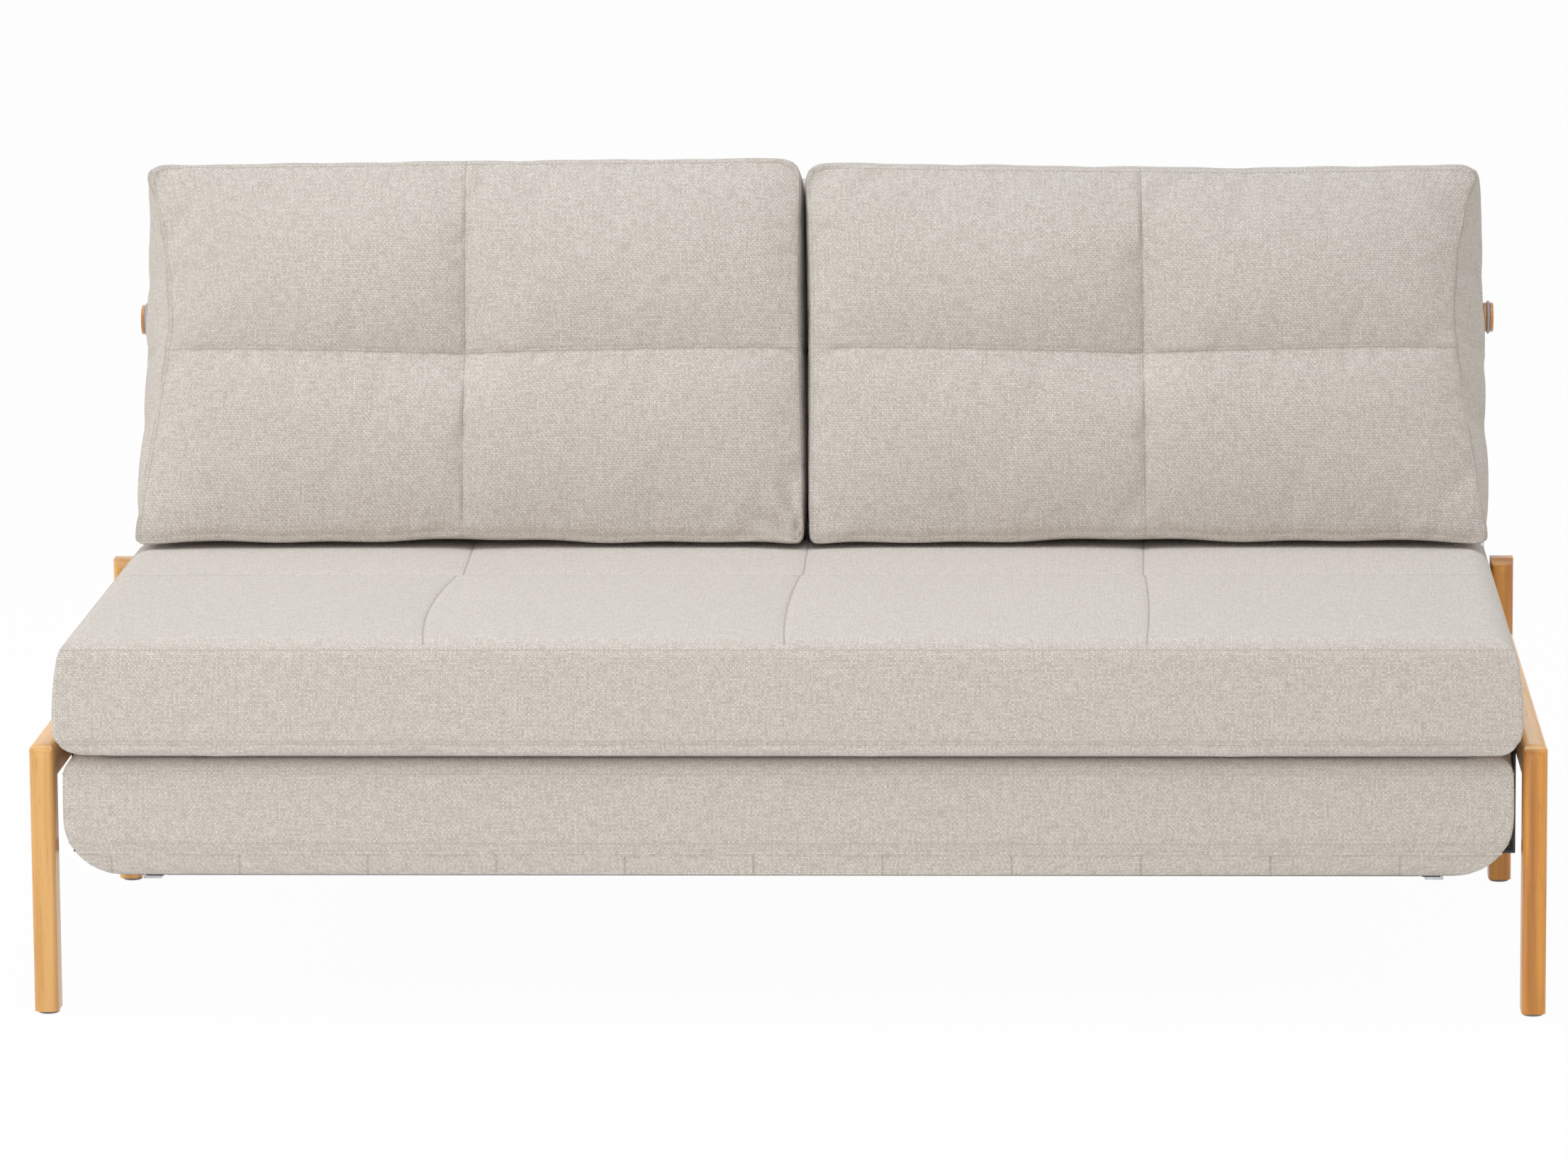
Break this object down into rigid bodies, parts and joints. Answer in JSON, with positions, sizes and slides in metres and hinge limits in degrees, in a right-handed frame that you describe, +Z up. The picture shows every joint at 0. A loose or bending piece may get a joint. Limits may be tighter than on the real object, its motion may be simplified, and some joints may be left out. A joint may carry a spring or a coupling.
{
  "type": "sofa bed",
  "caption": "Fold-out sofa bed with two stacked mattress sections, a ratchet-hinged drop-down back, loose back cushions and slim wooden side frames with legs.",
  "frame": {"origin": "on the floor under the middle of the footprint", "axes": "+X to the right of someone facing the seat's front, +Y towards the back, +Z up"},
  "size_m": [1.505, 0.9638, 0.7799],
  "materials": {
    "linen_fabric": "light greige linen weave",
    "oak": "oiled oak",
    "plywood": "plain birch plywood",
    "black_steel": "black powder coat",
    "zinc_plate": "zinc plated",
    "grey_plastic": "matt grey"
  },
  "bodies": {
    "base": {"front_leg_left": "oak", "front_leg_right": "oak", "side_rail_left": "oak", "side_rail_right": "oak", "rear_post_left": "oak", "rear_post_right": "oak", "glide_front_left": "grey_plastic", "glide_front_right": "grey_plastic", "glide_rear_left": "grey_plastic", "glide_rear_right": "grey_plastic", "base_front_board": "linen_fabric", "base_rear_board": "linen_fabric", "base_side_board_left": "linen_fabric", "base_side_board_right": "linen_fabric", "base_slat_1_left": "plywood", "base_slat_1_right": "plywood", "base_slat_2_left": "plywood", "base_slat_2_right": "plywood", "base_slat_3_left": "plywood", "base_slat_3_right": "plywood", "side_bracket_front_left": "black_steel", "side_bracket_front_right": "black_steel", "side_bracket_rear_left": "black_steel", "side_bracket_rear_right": "black_steel", "lower_mattress": "linen_fabric", "fold_hinge_tape": "linen_fabric", "hinge_plate_left": "zinc_plate", "hinge_plate_right": "zinc_plate", "hinge_pin_left": "zinc_plate", "hinge_pin_right": "zinc_plate", "runner_left": "zinc_plate", "runner_right": "zinc_plate"},
    "seat_top": {"upper_mattress": "linen_fabric"},
    "backrest": {"back_mattress": "linen_fabric", "back_arm_left": "black_steel", "back_arm_right": "black_steel", "back_top_rail": "black_steel", "back_bottom_rail": "black_steel", "ratchet_sector_left": "zinc_plate", "ratchet_sector_right": "zinc_plate", "knob_inner_disc_left": "oak", "knob_inner_disc_right": "oak", "knob_ring_left": "grey_plastic", "knob_ring_right": "grey_plastic", "knob_outer_disc_left": "oak", "knob_outer_disc_right": "oak"},
    "cushion_left": {"back_cushion_left": "linen_fabric"},
    "cushion_right": {"back_cushion_right": "linen_fabric"},
    "pawl_left": {"pawl_left": "zinc_plate"},
    "pawl_right": {"pawl_right": "zinc_plate"},
    "pullout": {"pullout_front_bar": "black_steel", "pullout_rear_bar": "black_steel", "pullout_side_tube_left": "black_steel", "pullout_side_tube_right": "black_steel", "pullout_slat_1": "plywood", "pullout_slat_2": "plywood"},
    "pullout_leg_left": {"pullout_leg_left": "black_steel"},
    "pullout_leg_right": {"pullout_leg_right": "black_steel"},
    "back_leg_left": {"back_leg_left": "black_steel"},
    "back_leg_right": {"back_leg_right": "black_steel"}
  },
  "joints": [
    {"name": "seat_unfold", "type": "hinge", "parent": "base", "child": "seat_top", "pos_m": [0, -0.47812, 0.2635], "axis": [1, 0, 0], "range_deg": [0, 180]},
    {"name": "backrest_recline", "type": "hinge", "parent": "base", "child": "backrest", "pos_m": [0, 0.26688, 0.2145], "axis": [-1, 0, 0], "range_deg": [0, 74]},
    {"name": "cushion_left_lift", "type": "slide", "parent": "backrest", "child": "cushion_left", "axis": [0, 0.2756, 0.9613], "range_m": [0, 2.27]},
    {"name": "cushion_right_lift", "type": "slide", "parent": "backrest", "child": "cushion_right", "axis": [0, 0.2756, 0.9613], "range_m": [0, 2.27]},
    {"name": "pawl_left_click", "type": "hinge", "parent": "base", "child": "pawl_left", "pos_m": [-0.7229, 0.25217, 0.15454], "axis": [-1, 0, 0], "range_deg": [0, 8]},
    {"name": "pawl_right_click", "type": "hinge", "parent": "base", "child": "pawl_right", "pos_m": [0.7229, 0.25217, 0.15454], "axis": [-1, 0, 0], "range_deg": [0, 8]},
    {"name": "pullout_slide", "type": "slide", "parent": "base", "child": "pullout", "axis": [0, -1, 0], "range_m": [0, 0.56]},
    {"name": "pullout_leg_left_fold", "type": "hinge", "parent": "pullout", "child": "pullout_leg_left", "pos_m": [-0.6237, -0.31212, 0.1269], "axis": [-1, 0, 0], "range_deg": [0, 90]},
    {"name": "pullout_leg_right_fold", "type": "hinge", "parent": "pullout", "child": "pullout_leg_right", "pos_m": [0.6237, -0.31212, 0.1269], "axis": [-1, 0, 0], "range_deg": [0, 90]},
    {"name": "back_leg_left_fold", "type": "hinge", "parent": "backrest", "child": "back_leg_left", "pos_m": [-0.6753, 0.43923, 0.60513], "axis": [1, 0, 0], "range_deg": [0, 90]},
    {"name": "back_leg_right_fold", "type": "hinge", "parent": "backrest", "child": "back_leg_right", "pos_m": [0.6753, 0.43923, 0.60513], "axis": [1, 0, 0], "range_deg": [0, 90]}
  ],
  "couplings": [
    {"joint": "cushion_left_lift", "follows": "seat_unfold", "m_per_rad": 0.72},
    {"joint": "cushion_right_lift", "follows": "seat_unfold", "m_per_rad": 0.72},
    {"joint": "pawl_right_click", "follows": "pawl_left_click", "ratio": 1}
  ]
}
